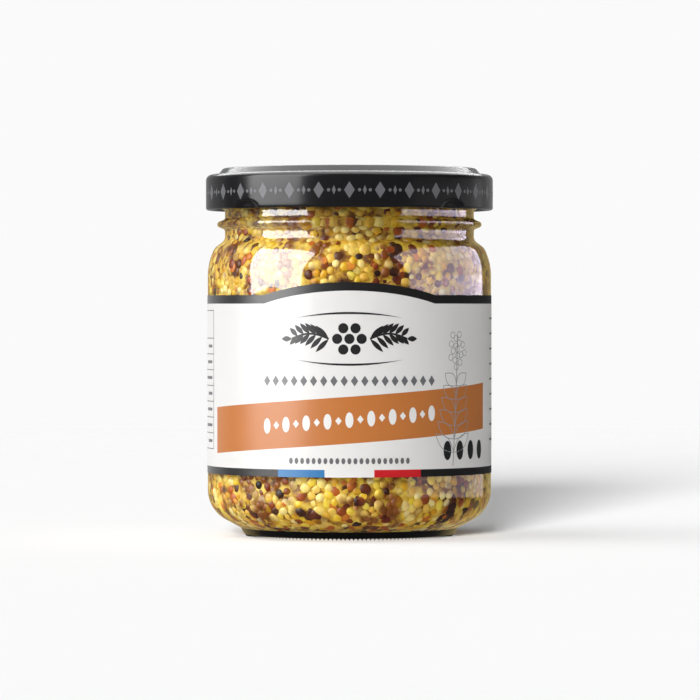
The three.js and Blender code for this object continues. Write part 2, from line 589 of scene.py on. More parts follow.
def settle(piece: bpy.types.Object, slot: str, *nodes: str) -> bpy.types.Object:
    """Ties a finished piece to the frame and reports it.

    Args:
        piece: The finished piece.
        slot: Not used.
        *nodes: The CAD nodes that it stands for.

    Returns:
        The piece.
    """
    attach(piece, BODY)
    if nodes:
        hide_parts(*nodes)
    LOG.info("%s: %d faces", piece.name, len(piece.data.polygons))
    return piece


def baked(holder: bpy.types.Object, name: str) -> bpy.types.Object:
    """Turns an object with a node tree on it into a plain mesh, and removes the object.

    Args:
        holder: The object that carries the modifier.
        name: The new piece's name.

    Returns:
        The plain mesh's object.
    """
    depsgraph = bpy.context.evaluated_depsgraph_get()
    mesh = bpy.data.meshes.new_from_object(holder.evaluated_get(depsgraph), depsgraph=depsgraph)
    mesh.name = name
    bpy.data.objects.remove(holder)
    made = bpy.data.objects.new(name, mesh)
    bpy.context.scene.collection.objects.link(made)
    return made


class NodeRecipe:
    """A geometry tree with named inputs, which objects then carry as a modifier."""

    SOCKETS = {
        float: "NodeSocketFloat",
        int: "NodeSocketInt",
        bpy.types.Object: "NodeSocketObject",
        bpy.types.Material: "NodeSocketMaterial",
    }

    def __init__(self, name: str, inputs: dict[str, type]) -> None:
        """Starts the tree.

        Args:
            name: The tree's name.
            inputs: The kind of each named input.
        """
        self.tree = bpy.data.node_groups.new(name, "GeometryNodeTree")
        face = self.tree.interface
        face.new_socket("Geometry", in_out="INPUT", socket_type="NodeSocketGeometry")
        face.new_socket("Geometry", in_out="OUTPUT", socket_type="NodeSocketGeometry")
        self.keys = {
            word: face.new_socket(word, in_out="INPUT", socket_type=self.SOCKETS[kind]).identifier
            for word, kind in inputs.items()
        }
        self.source = self.tree.nodes.new("NodeGroupInput")

    def given(self, word: str) -> Any:
        """Returns the output that carries a named input."""
        return self.source.outputs[word]

    def end(self, geometry: Any) -> None:
        """Ends the tree in plain mesh of the material given.

        Args:
            geometry: The node or socket with the instances.
        """
        real = add(self.tree, "GeometryNodeRealizeInstances", {"Geometry": geometry})
        smooth = add(self.tree, "GeometryNodeSetShadeSmooth", {"Geometry": real})
        dressed = add(
            self.tree, "GeometryNodeSetMaterial", {"Geometry": smooth, "Material": self.given("Material")}
        )
        add(self.tree, "NodeGroupOutput", {"Geometry": dressed})

    def apply(self, holder: bpy.types.Object, name: str, values: dict[str, Any]) -> bpy.types.Object:
        """Runs the tree on an object and keeps the plain mesh.

        Args:
            holder: The object whose mesh goes in. It is used up.
            name: The new piece's name.
            values: The value of each named input.

        Returns:
            The new piece.
        """
        modifier = holder.modifiers.new(name, "NODES")
        modifier.node_group = self.tree
        for word, value in values.items():
            modifier[self.keys[word]] = value
        return baked(holder, name)


class ArcRow(NodeRecipe):
    """Copies of a small motif at even steps round the jar, such as a frieze."""

    def __init__(self) -> None:
        """Builds the tree."""
        sizes = ("Radius", "Start", "Step", "Height", "Rise")
        super().__init__(
            "arc_row",
            {
                **{word: float for word in sizes},
                "Count": int,
                "Motif": bpy.types.Object,
                "Material": bpy.types.Material,
            },
        )
        t = self.tree
        line = add(t, "GeometryNodeMeshLine", {"Count": self.given("Count")})
        index = add(t, "GeometryNodeInputIndex")
        angle = add(
            t,
            "ShaderNodeMath",
            {0: index, 1: self.given("Step"), 2: self.given("Start")},
            operation="MULTIPLY_ADD",
        )
        lift = add(
            t,
            "ShaderNodeMath",
            {0: index, 1: self.given("Rise"), 2: self.given("Height")},
            operation="MULTIPLY_ADD",
        )
        front = add(t, "ShaderNodeMath", {0: self.given("Radius"), 1: -1.0}, operation="MULTIPLY")
        start = add(t, "ShaderNodeCombineXYZ", {"Y": front, "Z": lift})
        turn = add(t, "ShaderNodeCombineXYZ", {"Z": angle})
        place = add(
            t,
            "ShaderNodeVectorRotate",
            {"Vector": start, "Axis": (0, 0, 1), "Angle": angle},
            rotation_type="AXIS_ANGLE",
        )
        spots = add(t, "GeometryNodeSetPosition", {"Geometry": line, "Position": place})
        motif = add(t, "GeometryNodeObjectInfo", {"Object": self.given("Motif")}).outputs["Geometry"]
        copies = {"Points": spots, "Instance": motif, "Rotation": turn}
        self.end(add(t, "GeometryNodeInstanceOnPoints", copies))


class SeedScatter(NodeRecipe):
    """Seeds packed against a surface, turned anyhow, each of its own size, depth and tint."""

    TINT = "tint"

    def __init__(self) -> None:
        """Builds the tree."""
        sizes = ("Spacing", "Clump", "From", "To", "Smallest", "Largest", "Sunk", "Deepest")
        super().__init__(
            "seed_scatter",
            {
                **{word: float for word in sizes},
                "Seed": int,
                "Motif": bpy.types.Object,
                "Material": bpy.types.Material,
            },
        )
        t = self.tree
        spread = add(
            t,
            "GeometryNodeDistributePointsOnFaces",
            {
                "Mesh": self.source.outputs["Geometry"],
                "Distance Min": self.given("Spacing"),
                "Density Max": 2.0e6,
                "Seed": self.given("Seed"),
            },
            distribute_method="POISSON",
        )
        clump = add(
            t,
            "ShaderNodeMapRange",
            {
                "Value": add(t, "ShaderNodeTexNoise", {"Scale": self.given("Clump"), "Detail": 1.0}),
                "From Min": 0.3,
                "From Max": 0.7,
            },
        )
        lot = add(
            t, "ShaderNodeMath", {0: clump, 1: 0.6, 2: self.drawn(0.0, 0.4, 11)}, operation="MULTIPLY_ADD"
        )
        chosen = add(
            t,
            "ShaderNodeMath",
            {
                0: add(t, "ShaderNodeMath", {0: lot, 1: self.given("From")}, operation="GREATER_THAN"),
                1: add(t, "ShaderNodeMath", {0: lot, 1: self.given("To")}, operation="LESS_THAN"),
            },
            operation="MULTIPLY",
        )
        size = self.drawn(self.given("Smallest"), self.given("Largest"), 23)
        depth = add(
            t,
            "ShaderNodeMath",
            {0: size, 1: self.given("Sunk"), 2: self.drawn(0.0, self.given("Deepest"), 37)},
            operation="MULTIPLY_ADD",
        )
        inward = add(t, "ShaderNodeMath", {0: depth, 1: -1.0}, operation="MULTIPLY")
        shift = add(
            t, "ShaderNodeVectorMath", {0: spread.outputs["Normal"], "Scale": inward}, operation="SCALE"
        )
        spots = add(t, "GeometryNodeSetPosition", {"Geometry": spread, "Offset": shift})
        motif = add(t, "GeometryNodeObjectInfo", {"Object": self.given("Motif")}).outputs["Geometry"]
        spin = add(
            t, "FunctionNodeAxisAngleToRotation", {"Axis": (0, 0, 1), "Angle": self.drawn(0.0, math.tau, 41)}
        )
        turn = add(
            t,
            "FunctionNodeRotateRotation",
            {"Rotation": spread.outputs["Rotation"], "Rotate By": spin},
            rotation_space="LOCAL",
        )
        uneven = add(
            t,
            "FunctionNodeRandomValue",
            {"Min": (0.82, 0.82, 0.5), "Max": (1.16, 1.16, 0.74), "Seed": 43},
            data_type="FLOAT_VECTOR",
        )
        scale = add(t, "ShaderNodeVectorMath", {0: uneven, "Scale": size}, operation="SCALE")
        seeds = add(
            t,
            "GeometryNodeInstanceOnPoints",
            {"Points": spots, "Selection": chosen, "Instance": motif, "Rotation": turn, "Scale": scale},
        )
        tinted = add(
            t,
            "GeometryNodeStoreNamedAttribute",
            {"Geometry": seeds, "Name": self.TINT, "Value": self.drawn(0.0, 1.0, 59)},
            data_type="FLOAT",
            domain="INSTANCE",
        )
        self.end(tinted)

    def drawn(self, low: Any, high: Any, seed: int) -> Any:
        """Returns a random number for each seed, between two values."""
        return add(
            self.tree,
            "FunctionNodeRandomValue",
            {"Min": low, "Max": high, "Seed": seed},
            data_type="FLOAT",
        )


@dataclass
class JarInside:
    """The inside of the glass, which the mustard fills. It follows the outside at the wall's thickness."""

    mouth_r: float = 27.9
    neck_z: float = 69.7
    neck_fillet: float = 3.0
    shoulder_edge: Corner = (30.65, 67.6, 2.5)
    wall_r: float = 31.8
    shoulder_z: float = 64.8
    shoulder_fillet: float = 9.0
    heel_z: float = 7.4
    heel_fillet: float = 6.0
    base_r: float = 27.3
    base_z: float = 4.6
    base_fillet: float = 1.5

    def corners(self, into_wall: float, top: float) -> list[Corner]:
        """Lists the corners down the inside, or down what fills it.

        Args:
            into_wall: How far it reaches into the wall.
            top: Height to start from, in the neck.

        Returns:
            Corners from the neck down to the base's middle.
        """
        return grown(
            [
                (self.mouth_r, top),
                (self.mouth_r, self.neck_z, self.neck_fillet),
                self.shoulder_edge,
                (self.wall_r, self.shoulder_z, self.shoulder_fillet),
                (self.wall_r, self.heel_z, self.heel_fillet),
                (self.base_r, self.base_z, self.base_fillet),
                (0.0, self.base_z),
            ],
            into_wall,
        )


@dataclass
class GlassJar:
    """The glass: foot ring, round heel, label panel, sloping shoulder, ringed neck and plain finish.

    Its inside lies a little behind the mustard's face, so that no air shows between them.
    """

    inside: JarInside
    foot_r: float = 25.2
    foot_top_r: float = 26.1
    foot_h: float = 2.0
    foot_width: float = 2.2
    push_up: float = 1.6
    heel_r: float = 33.98
    heel_corner: float = 6.2
    heel_fillet: float = 8.0
    body_r: float = 33.98
    shoulder_z: float = 65.2
    shoulder_edge: Corner = (32.35, 69.0, 2.8)
    neck_r: float = 29.86
    neck_z: float = 70.8
    bead_r: float = 31.65
    bead_z: float = 74.6
    bead_half: float = 1.25
    finish_r: float = 31.4
    finish_z: float = 77.1
    rim_z: float = 85.3
    press: float = -0.3
    stud: float = 0.45
    knobs: int = 156
    sides: int = 256

    def outline(self) -> np.ndarray:
        """Returns the wall's outline, from the underside's middle round to the inside's middle."""
        inner_foot = self.foot_r - self.foot_width
        return rounded_outline(
            [
                (0.0, self.push_up),
                (inner_foot - 1.5, self.push_up / 2, 3.0),
                (inner_foot, self.stud, 0.3),
                (self.foot_r, self.stud, 0.3),
                (self.foot_top_r, self.foot_h, 0.12),
                (self.heel_r, self.heel_corner, self.heel_fillet),
                (self.body_r, self.shoulder_z, 14.0),
                self.shoulder_edge,
                (self.neck_r, self.neck_z, 1.9),
                (self.neck_r, self.bead_z - self.bead_half, 0.7),
                (self.bead_r + 0.05, self.bead_z - 0.5, 0.7),
                (self.bead_r + 0.05, self.bead_z + 0.5, 0.7),
                (self.neck_r, self.bead_z + self.bead_half, 0.7),
                (self.neck_r, self.finish_z + 0.8, 0.4),
                (self.finish_r, self.finish_z + 1.6, 0.4),
                (self.finish_r, self.rim_z, 0.9),
                (self.inside.mouth_r, self.rim_z, 0.9),
                *self.inside.corners(self.press, self.rim_z - 4),
            ]
        )

    def build(self) -> bpy.types.Object:
        """Makes the glass with its foot's stipple and ties it to the frame.

        Returns:
            The piece.
        """
        shell = turned(self.outline(), self.sides)
        for i, corners in enumerate(shell.faces):
            radii = [math.hypot(*shell.vertices[c][:2]) for c in corners]
            heights = [shell.vertices[c][2] for c in corners]
            # The foot ring's faces take the near-black glass, which is painted shade.
            in_foot_shade = max(heights) < self.foot_h + 0.02 and min(radii) > self.foot_r - self.foot_width
            shell.slots[i] = int(in_foot_shade)
        for k in range(self.knobs):
            self.knob(shell, 2 * math.pi * k / self.knobs)
        glass = shell.piece("jar_glass", [ClearGlass().material(), FootShadeGlass().material()])
        glass.visible_shadow = False
        return settle(glass, "glass", "glass_jar")

    def knob(self, shell: Shell, angle: float) -> None:
        """Adds one low stud of the stippled foot: a small pyramid with its base sunk in the ring.

        Args:
            shell: The glass's shell.
            angle: Where on the ring, in radians from the front.
        """
        first = len(shell.vertices)
        half = math.pi / self.knobs * 0.75
        middle = self.foot_r - 0.4
        for radius, turn in ((middle - 0.4, 0), (middle, half), (middle + 0.4, 0), (middle, -half)):
            shell.vertices.append(on_circle(radius, angle + turn, self.stud + 0.15))
        shell.vertices.append(on_circle(middle, angle, 0.0))
        for a, b in ((0, 1), (1, 2), (2, 3), (3, 0)):
            # The studs take the foot's painted-shade glass too.
            shell.face((first + a, first + b, first + 4), 1)
        shell.face((first + 3, first + 2, first + 1, first), 1)


class SeedKind(Enum):
    """Kinds of seed by their skin."""

    CREAM = ("seeds_cream", (0.0, 0.49), (1.0, 1.55), (0.58, 0.4), ("DEAE3A", "EBC65A", "F2D87A", "F8E8AA"))
    YELLOW = ("seeds_yellow", (0.49, 0.63), (1.0, 1.55), (0.58, 0.4), ("D49A14", "E6B624", "F0CC3A", "F6DF5E"))
    RUSSET = ("seeds_russet", (0.63, 0.74), (1.2, 1.9), (0.66, 0.3), ("5A240A", "8A3E10", "B45C18", "D4802A"))
    DARK = ("seeds_dark", (0.74, 1.0), (1.1, 1.75), (0.66, 0.35), ("32180C", "44210F", "5C3012", "7A4418"))

    def __init__(
        self, label: str, lot: Flat, radii: Flat, depth: Flat, shades: tuple[str, str, str, str]
    ) -> None:
        """Names the fields of one kind.

        Args:
            label: The piece's name.
            lot: Share of all seeds, from and to.
            radii: Smallest and largest radius.
            depth: Share of its radius that a seed is sunk behind the wall, and how much deeper it may lie.
            shades: Colours from the darkest to the palest.
        """
        self.label = label
        self.lot = lot
        self.radii = radii
        self.depth = depth
        self.shades = shades


@dataclass
class MustardFill:
    """The mustard: a lumpy core of paste, with seeds of several kinds and bran packed against the glass."""

    BRAN = ("6E2E0A", "B45A12", "D97A1E", "EFA640")

    inside: JarInside
    level: float = 79.8
    paste_reach: float = 1.15
    lump: float = 0.25
    lump_mm: float = 4.2
    seed_reach: float = 1.65
    spacing: float = 1.72
    clump: float = 4.5
    flake_spacing: float = 5.2
    flake_radii: Flat = (0.7, 1.3)
    flake_depth: Flat = (0.2, 0.5)
    band: tuple[float, float] = (18.6, 53.6)
    band_gap: float = math.radians(12)
    sides: int = 220

    def paste(self) -> bpy.types.Object:
        """Makes the core of paste, lumpy where seeds lie under it.

        Returns:
            The piece.
        """
        corners = self.inside.corners(self.paste_reach, self.level)[::-1] + [(0.0, self.level)]
        outline = rounded_outline(corners, 6.0, 0.9)
        shell = turned(outline, self.sides)
        shell.vertices = [self.lumpy(v) for v in shell.vertices]
        core = shell.piece("mustard_paste", [MustardPaste().material()], 180.0)
        return settle(core, "mustard", "mustard")

    def lumpy(self, point: tuple[float, float, float]) -> tuple[float, float, float]:
        """Moves a point of the core's side in or out by slow waves of three ways.

        Args:
            point: The point on the smooth core.

        Returns:
            The moved point.
        """
        x, y, z = point
        radius = math.hypot(x, y)
        if radius < 1e-6:
            return point
        k = 2 * math.pi / self.lump_mm
        wave = math.sin(k * x + 1.7 * math.sin(0.9 * k * z))
        wave += math.sin(k * y * 0.83 + 2.1 * math.sin(0.7 * k * x))
        wave += math.sin(k * z * 1.13 + 1.9 * math.sin(0.8 * k * y))
        wave /= 3
        scaled = 1 + self.lump * wave / radius
        return x * scaled, y * scaled, z

    def wall(self) -> bpy.types.Object:
        """Makes the open surface that the seeds press against, without what the label covers.

        Returns:
            A scratch object with that surface.
        """
        outline = rounded_outline(self.inside.corners(self.seed_reach, self.level - 0.8)[::-1], 6.0, 1.2)
        shell = turned(outline, self.sides)
        shown = Shell(shell.vertices)
        for corners in shell.faces:
            x, y, z = np.mean([shell.vertices[c] for c in corners], axis=0)
            behind = math.pi - abs(math.atan2(x, -y)) < self.band_gap
            low, high = self.band
            if (not low < z < high or behind) and math.hypot(x, y) > self.inside.mouth_r * 0.4:
                shown.face(corners)
        return shown.piece("seed_wall", [], 180.0)

    def inputs(
        self, spacing: float, lot: Flat, radii: Flat, depth: Flat, seed: int, motif: bpy.types.Object
    ) -> dict[str, Any]:
        """Lists what the scatter is given, all but the material.

        Args:
            spacing: Least distance between two seeds.
            lot: Share of all seeds, from and to.
            radii: Smallest and largest radius.
            depth: Share of its radius that a seed is sunk, and how much deeper it may lie.
            seed: The seed of the random places.
            motif: The shape that is repeated.

        Returns:
            A value for each named input.
        """
        return {
            "Spacing": spacing * MM,
            "Clump": 1 / (self.clump * MM),
            "From": lot[0],
            "To": lot[1],
            "Smallest": radii[0],
            "Largest": radii[1],
            "Sunk": depth[0] * MM,
            "Deepest": depth[1] * MM,
            "Seed": seed,
            "Motif": motif,
        }

    def build(self) -> list[bpy.types.Object]:
        """Makes the paste, the seeds of each kind and the bran.

        Returns:
            The pieces.
        """
        made = [self.paste()]
        scatter = SeedScatter()
        seed = self.motif("seed_motif", 1.0)
        flake = self.motif("flake_motif", 0.16)
        for kind in SeedKind:
            values = self.inputs(self.spacing, kind.lot, kind.radii, kind.depth, 7, seed)
            values["Material"] = SeedCoat(kind.label, kind.shades).material()
            made.append(settle(scatter.apply(self.wall(), kind.label, values), "mustard"))
        values = self.inputs(self.flake_spacing, (0.0, 1.0), self.flake_radii, self.flake_depth, 19, flake)
        values["Material"] = SeedCoat("bran_flakes", self.BRAN).material()
        made.append(settle(scatter.apply(self.wall(), "bran_flakes", values), "mustard"))
        for scratch in (seed, flake):
            bpy.data.objects.remove(scratch)
        return made

    def motif(self, name: str, thick: float) -> bpy.types.Object:
        """Makes a seed of one millimetre radius with few faces.

        Args:
            name: The scratch object's name.
            thick: Share of its height that is left.

        Returns:
            The scratch object, which isn't shown.
        """
        bpy.ops.mesh.primitive_ico_sphere_add(subdivisions=2, radius=MM)
        motif = bpy.context.object
        motif.name = name
        for vertex in motif.data.vertices:
            vertex.co.z *= thick
        return motif


class Ink(Enum):
    """Colours printed on the label, in the order of its material slots."""

    PAPER = "EBEAE8"
    BLACK = "1F1E1F"
    ORANGE = "C77838"
    BLUE = "2B7AB6"
    RED = "CF141E"

    @property
    def slot(self) -> int:
        """Returns the ink's material slot."""
        return list(Ink).index(self)

    def material(self) -> bpy.types.Material:
        """Returns the printed paper of this ink."""
        return CoatedPaper(f"label_{self.name.lower()}", self.value).material()


@dataclass
class WrapLabel:
    """The paper label: white with black borders, an arched top, a slanted band and three fields at the foot.

    Lengths round the jar are counted from the front, to the right.
    """

    radius: float = 34.08
    thickness: float = 0.1
    bottom: float = 15.2
    top: float = 57.6
    border: float = 2.0
    foot_border: float = 1.75
    arch_half: float = 21.3
    arch_rise: float = 3.0
    open_back: float = math.radians(14.4)
    band_from: float = -39.7
    band_to: float = 40.6
    band_low: float = 20.2
    band_rise: float = 5.8
    band_height: float = 10.9
    field_width: float = 11.6
    step: float = 0.7

    def top_at(self, s: float) -> float:
        """Returns the height of the upper edge at a length round the jar."""
        arch_r = (self.arch_half**2 + self.arch_rise**2) / (2 * self.arch_rise)
        along = min(abs(s), self.arch_half)
        return self.top + self.arch_rise - arch_r + math.sqrt(arch_r**2 - along**2)

    def band_at(self, s: float) -> float:
        """Returns the height of the slanted band's lower edge at a length round the jar."""
        share = (min(max(s, self.band_from), self.band_to) - self.band_from) / (self.band_to - self.band_from)
        return self.band_low + self.band_rise * share

    def edges_at(self, s: float) -> list[float]:
        """Returns the heights where the print changes, from the foot up, at a length round the jar."""
        band = self.band_at(s)
        top = self.top_at(s)
        return [
            self.bottom,
            self.bottom + self.foot_border,
            band,
            band + self.band_height,
            top - self.border,
            top,
        ]

    def ink_at(self, s: float, row: int) -> Ink:
        """Chooses the ink of a field.

        Args:
            s: Length round the jar.
            row: Which of the rows between the edges.

        Returns:
            The ink.
        """
        if row == 4:
            return Ink.BLACK
        if row == 2 and self.band_from < s < self.band_to:
            return Ink.ORANGE
        if row == 0:
            place = math.floor(s / self.field_width + 1.5)
            return {0: Ink.BLUE, 1: Ink.PAPER, 2: Ink.RED}.get(place, Ink.BLACK)
        return Ink.PAPER

    def columns(self) -> list[float]:
        """Returns the lengths round the jar where the sheet is cut into columns."""
        end = self.radius * (math.pi - self.open_back / 2)
        cuts = [-end, self.band_from, -self.arch_half, self.arch_half, self.band_to, end]
        cuts += [self.field_width * k for k in (-1.5, -0.5, 0.5, 1.5)]
        cuts.sort()
        places: list[float] = [cuts[0]]
        for before, after in zip(cuts, cuts[1:]):
            count = max(1, math.ceil((after - before) / self.step))
            places += [before + (after - before) * k / count for k in range(1, count + 1)]
        return places

    def build(self) -> bpy.types.Object:
        """Makes the sheet with its fields of ink and ties it to the frame.

        Returns:
            The piece.
        """
        shell = Shell()
        columns = self.columns()
        edges = [self.edges_at(s) for s in columns]
        rows = len(edges[0])
        for radius in (self.radius, self.radius - self.thickness):
            for s, heights in zip(columns, edges):
                shell.vertices.extend(on_circle(radius, s / self.radius, z) for z in heights)
        back = len(columns) * rows
        for i in range(len(columns) - 1):
            a, b = i * rows, (i + 1) * rows
            middle = (columns[i] + columns[i + 1]) / 2
            for j in range(rows - 1):
                shell.face((a + j, b + j, b + j + 1, a + j + 1), self.ink_at(middle, j).slot)
                shell.face((back + a + j + 1, back + b + j + 1, back + b + j, back + a + j))
            shell.face((back + a, back + b, b, a))
            shell.face((a + rows - 1, b + rows - 1, back + b + rows - 1, back + a + rows - 1))
        last = (len(columns) - 1) * rows
        for j in range(rows - 1):
            shell.face((j, j + 1, back + j + 1, back + j))
            shell.face((back + last + j, back + last + j + 1, last + j + 1, last + j))
        sheet = shell.piece("wrap_label", [ink.material() for ink in Ink], 30.0)
        return settle(sheet, "label_paper", "label")


@dataclass
class RoundPrint:
    """Shapes printed on a round surface, each a thin closed plate that stands a hair proud of it.

    A place is its length round the jar from the front, to the right, and its height.
    """

    radius: float
    proud: float = 0.02
    sunk: float = 0.04
    shell: Shell = field(default_factory=Shell)

    def lay(self, places: Sequence[Flat]) -> tuple[int, int]:
        """Adds the corners of a plate's face and back.

        Args:
            places: The corners.

        Returns:
            The first corner of the face and of the back.
        """
        first = len(self.shell.vertices)
        for radius in (self.radius + self.proud, self.radius - self.sunk):
            self.shell.vertices.extend(on_circle(radius, s / self.radius, z) for s, z in places)
        return first, first + len(places)

    def plate(self, ring: Sequence[Flat]) -> None:
        """Adds a convex plate.

        Args:
            ring: Its corners, anticlockwise.
        """
        n = len(ring)
        middle = (sum(s for s, _ in ring) / n, sum(z for _, z in ring) / n)
        face, back = self.lay([*ring, middle])
        for k in range(n):
            m = (k + 1) % n
            self.shell.face((face + k, face + m, face + n))
            self.shell.face((back + m, back + k, back + n))
            self.shell.face((back + k, back + m, face + m, face + k))

    def line(self, path: Sequence[Flat], width: float, taper: bool = False) -> None:
        """Adds a line along a path.

        Args:
            path: Places along it, close together.
            width: Its width.
            taper: Whether it thins out to both ends.
        """
        way = np.gradient(np.array(path, float), axis=0)
        across = np.stack([-way[:, 1], way[:, 0]], axis=1) / np.linalg.norm(way, axis=1, keepdims=True)
        share = np.sin(np.linspace(0, math.pi, len(path))) if taper else np.ones(len(path))
        half = across * (np.maximum(share, 0.08) * width / 2)[:, None]
        left, right = np.array(path) + half, np.array(path) - half
        face, back = self.lay([tuple(p) for pair in zip(right, left) for p in pair])
        last = 2 * (len(path) - 1)
        for k in range(0, last, 2):
            self.shell.face((face + k, face + k + 2, face + k + 3, face + k + 1))
            self.shell.face((back + k + 1, back + k + 3, back + k + 2, back + k))
            self.shell.face((back + k, back + k + 2, face + k + 2, face + k))
            self.shell.face((face + k + 1, face + k + 3, back + k + 3, back + k + 1))
        self.shell.face((back, face, face + 1, back + 1))
        self.shell.face((face + last, back + last, back + last + 1, face + last + 1))

    def disc(self, s: float, z: float, wide: float, high: float, corners: int = 14) -> None:
        """Adds an oval, or a lozenge when it has four corners.

        Args:
            s: Its middle, round the jar.
            z: Its middle's height.
            wide: Its width.
            high: Its height.
            corners: Corners of its edge.
        """
        turns = [math.tau * k / corners for k in range(corners)]
        self.plate([(s + wide / 2 * math.cos(t), z + high / 2 * math.sin(t)) for t in turns])

    def leaf(self, s: float, z: float, long: float, wide: float, angle: float) -> None:
        """Adds a pointed leaf.

        Args:
            s: Its stalk, round the jar.
            z: Its stalk's height.
            long: Its length.
            wide: Its width.
            angle: Radians that it points up from the right.
        """
        shares = np.linspace(0, 1, 7)
        edge = [(long * t, -wide / 2 * math.sin(math.pi * t)) for t in shares]
        edge += [(long * t, wide / 2 * math.sin(math.pi * t)) for t in shares[-2:0:-1]]
        c, n = math.cos(angle), math.sin(angle)
        self.plate([(s + c * x - n * y, z + n * x + c * y) for x, y in edge])

    def motif(self, name: str) -> bpy.types.Object:
        """Makes a scratch object of the shapes, moved from the front of the jar to the origin."""
        self.shell.vertices = [(x, y + self.radius, z) for x, y, z in self.shell.vertices]
        return self.shell.piece(name, [], 30.0)


def steps(start: float, end: float, size: float) -> list[float]:
    """Returns even steps from start to end, none longer than size."""
    return list(np.linspace(start, end, max(2, math.ceil(abs(end - start) / size) + 1)))


@dataclass
class LabelOrnament:
    """What is printed on the label's fields: plain ornaments, rules and a ruled table, with no words.

    The emblem is a cluster of seeds between two sprigs.
    """

    label: WrapLabel
    row: ArcRow
    emblem_z: float = 47.4
    emblem_seed: float = 2.4
    emblem_ring: float = 2.85
    spray_from: float = 4.8
    spray_long: float = 9.0
    spray_bow: float = 1.2
    leaf_long: float = 4.4
    leaf_wide: float = 1.15
    leaf_tilt: float = 0.78
    arc_half: float = 12.5
    arc_far: float = 6.0
    arc_bow: float = 1.1
    lozenges_z: float = 37.6
    dots_z: float = 19.0
    pips_z: float = 21.2
    sprig_s: float = 27.0
    sprig_low: float = 17.6
    sprig_tall: float = 30.5
    table_to: float = -42.2
    table_top: float = 54.0
    table_low: float = 19.2
    table_row: float = 3.75
    table_columns: tuple[float, ...] = (-88.0, -72.0, -56.0)
    rules_from: float = 46.5
    rules_to: float = 84.0

    def chain(
        self,
        name: str,
        shape: Callable[[RoundPrint], None],
        first: float,
        gap: float,
        count: int,
        z: float,
        ink: str,
        rise: float = 0.0,
    ) -> None:
        """Prints a row of one shape along the label.

        Args:
            name: The piece's name.
            shape: Adds the shape to a print, at the origin.
            first: Where the first one is, round the jar.
            gap: Length from each to the next.
            count: How many there are.
            z: Height of the first.
            ink: The ink's sRGB hex colour.
            rise: Rise from each to the next.
        """
        radius = self.label.radius
        drawn = RoundPrint(radius)
        shape(drawn)
        motif = drawn.motif(f"{name}_motif")
        holder = Shell().piece(f"{name}_holder", [], 30.0)
        values = {
            "Radius": radius * MM,
            "Start": first / radius,
            "Step": gap / radius,
            "Height": z * MM,
            "Rise": rise * MM,
            "Count": count,
            "Motif": motif,
            "Material": CoatedPaper(f"{name}_ink", ink).material(),
        }
        settle(self.row.apply(holder, name, values), "label_paper")
        bpy.data.objects.remove(motif)

    def emblem(self, sheet: RoundPrint) -> None:
        """Draws the emblem: seven seeds, a sprig at each side and a thin arc above and below.

        Args:
            sheet: The print to draw on.
        """
        z = self.emblem_z
        wide = self.emblem_seed
        sheet.disc(0, z, wide, wide)
        for k in range(6):
            turn = math.tau * k / 6
            sheet.disc(self.emblem_ring * math.cos(turn), z + self.emblem_ring * math.sin(turn), wide, wide)
        along = steps(self.spray_from, self.spray_from + self.spray_long, 0.5)
        bow = [z + self.spray_bow * math.sin((x - self.spray_from) / self.spray_long * math.pi) for x in along]
        for side in (-1, 1):
            path = [(side * x, height) for x, height in zip(along, bow)]
            sheet.line(path, 0.45)
            for k, (x, height) in enumerate(path[:-3:3]):
                for tilt in (self.leaf_tilt, -self.leaf_tilt):
                    angle = tilt if side > 0 else math.pi - tilt
                    sheet.leaf(x, height, self.leaf_long - 0.32 * k, self.leaf_wide, angle)
            sheet.leaf(*path[-1], 2.6, 1.3, 0.0 if side > 0 else math.pi)
        across = steps(-self.arc_half, self.arc_half, 0.7)
        for way in (-1, 1):
            arc = [(x, z + way * (self.arc_far - self.arc_bow * (x / self.arc_half) ** 2)) for x in across]
            sheet.line(arc, 0.5, taper=True)

    def sprig(self, sheet: RoundPrint) -> None:
        """Draws the tall faint sprig at the right, as thin lines.

        Args:
            sheet: The print to draw on.
        """
        low = self.sprig_low
        heights = steps(low, low + self.sprig_tall, 0.8)
        stem = [(self.sprig_s + 1.6 * math.sin((z - low) / 22), z) for z in heights]
        sheet.line(stem, 0.22)
        for k, (s, z) in enumerate(stem[4:26:4]):
            for side in (-1, 1):
                long, wide = 7.2 - 0.5 * k, 2.9
                lean = math.radians(38)
                for bow in (-1, 1):
                    edge: list[Flat] = []
                    for t in np.linspace(0, 1, 9):
                        x, y = long * t, bow * wide / 2 * math.sin(math.pi * t)
                        out = x * math.cos(lean) - y * math.sin(lean)
                        edge.append((s + side * out, z + x * math.sin(lean) + y * math.cos(lean)))
                    sheet.line(edge, 0.16)
        for k in range(16):
            turn, far = 2.4 * k, 0.62 * math.sqrt(k)
            s = stem[-1][0] + 1.2 * far * math.cos(turn)
            z = stem[-1][1] - 3.2 + 1.75 * far * math.sin(turn)
            ring = [(s + 0.75 * math.cos(a), z + 0.75 * math.sin(a)) for a in np.linspace(0.2, math.tau, 10)]
            sheet.line(ring, 0.15)

    def table(self, sheet: RoundPrint) -> None:
        """Draws the ruled table at the left side, with plain bars in its rows.

        Args:
            sheet: The print to draw on.
        """
        heights = [self.table_top, self.table_top - 6.6]
        while heights[-1] - self.table_row > self.table_low:
            heights.append(heights[-1] - self.table_row)
        for z in heights:
            sheet.line([(s, z) for s in steps(self.table_columns[0], self.table_to, 0.7)], 0.2)
        for s in (*self.table_columns, self.table_to):
            sheet.line([(s, z) for z in steps(heights[-1], self.table_top, 6.0)], 0.2)
        for k, z in enumerate(heights[1:-1]):
            for column in (*self.table_columns[1:], self.table_to):
                long = 4.0 + 1.5 * ((k * 7) % 3)
                middle = z - self.table_row / 2
                sheet.line([(s, middle) for s in steps(column - 1.2 - long, column - 1.2, 0.7)], 0.7)

